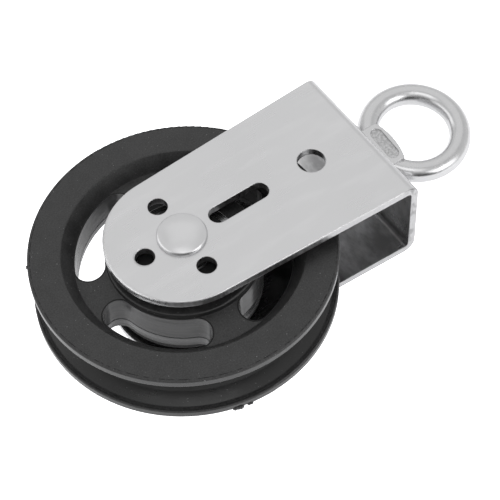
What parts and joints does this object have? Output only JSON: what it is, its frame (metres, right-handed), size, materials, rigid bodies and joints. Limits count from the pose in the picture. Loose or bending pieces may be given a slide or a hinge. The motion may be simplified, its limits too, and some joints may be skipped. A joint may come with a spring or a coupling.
{
  "type": "single sheave block",
  "caption": "Single sheave block: a black nylon wheel on ball bearings, held in a U-shaped stainless strap with riveted axle and a swivelling round eye.",
  "frame": {"origin": "centre of the wheel, on the axle, midway between the plates", "axes": "+Z along the axle, +X towards the eye, +Y across the strap"},
  "size_m": [0.1467, 0.09, 0.0366],
  "materials": {
    "strap_steel": "stainless strap, polished, edges rounded",
    "rivet_steel": "polished stainless",
    "cast_stainless": "cast stainless, barrel polished, slightly wavy",
    "bearing_steel": "ground steel",
    "black_nylon": "moulded nylon, satin on the rims, glossier inside the windows",
    "cage_nylon": "moulded",
    "seal_rubber": "matt black"
  },
  "bodies": {
    "bracket": {"bracket": "strap_steel", "axle_rivet": "rivet_steel", "upper_spacer": "bearing_steel", "lower_spacer": "bearing_steel", "inner_washer": "rivet_steel", "outer_washer": "rivet_steel", "upper_bearing_inner_ring": "bearing_steel", "lower_bearing_inner_ring": "bearing_steel"},
    "wheel": {"sheave": "black_nylon", "upper_bearing_outer_ring": "bearing_steel", "lower_bearing_outer_ring": "bearing_steel", "upper_bearing_lower_seal": "seal_rubber", "upper_bearing_upper_seal": "seal_rubber", "lower_bearing_lower_seal": "seal_rubber", "lower_bearing_upper_seal": "seal_rubber"},
    "upper_balls": {"upper_bearing_cage": "cage_nylon", "upper_bearing_balls": "bearing_steel"},
    "lower_balls": {"lower_bearing_cage": "cage_nylon", "lower_bearing_balls": "bearing_steel"},
    "eye": {"eye": "cast_stainless", "stem_nut": "rivet_steel"}
  },
  "joints": [
    {"name": "sheave_spin", "type": "hinge", "parent": "bracket", "child": "wheel", "pos_m": [0, 0, 0], "axis": [0, 0, 1], "continuous": true},
    {"name": "upper_cage_turn", "type": "hinge", "parent": "bracket", "child": "upper_balls", "pos_m": [0, 0, 0.005], "axis": [0, 0, 1], "continuous": true},
    {"name": "lower_cage_turn", "type": "hinge", "parent": "bracket", "child": "lower_balls", "pos_m": [0, 0, -0.005], "axis": [0, 0, 1], "continuous": true},
    {"name": "eye_swivel", "type": "hinge", "parent": "bracket", "child": "eye", "pos_m": [0.06425, 0, 0], "axis": [1, 0, 0], "continuous": true}
  ],
  "couplings": [
    {"joint": "upper_cage_turn", "follows": "sheave_spin", "ratio": 0.6318},
    {"joint": "lower_cage_turn", "follows": "sheave_spin", "ratio": 0.6318}
  ]
}
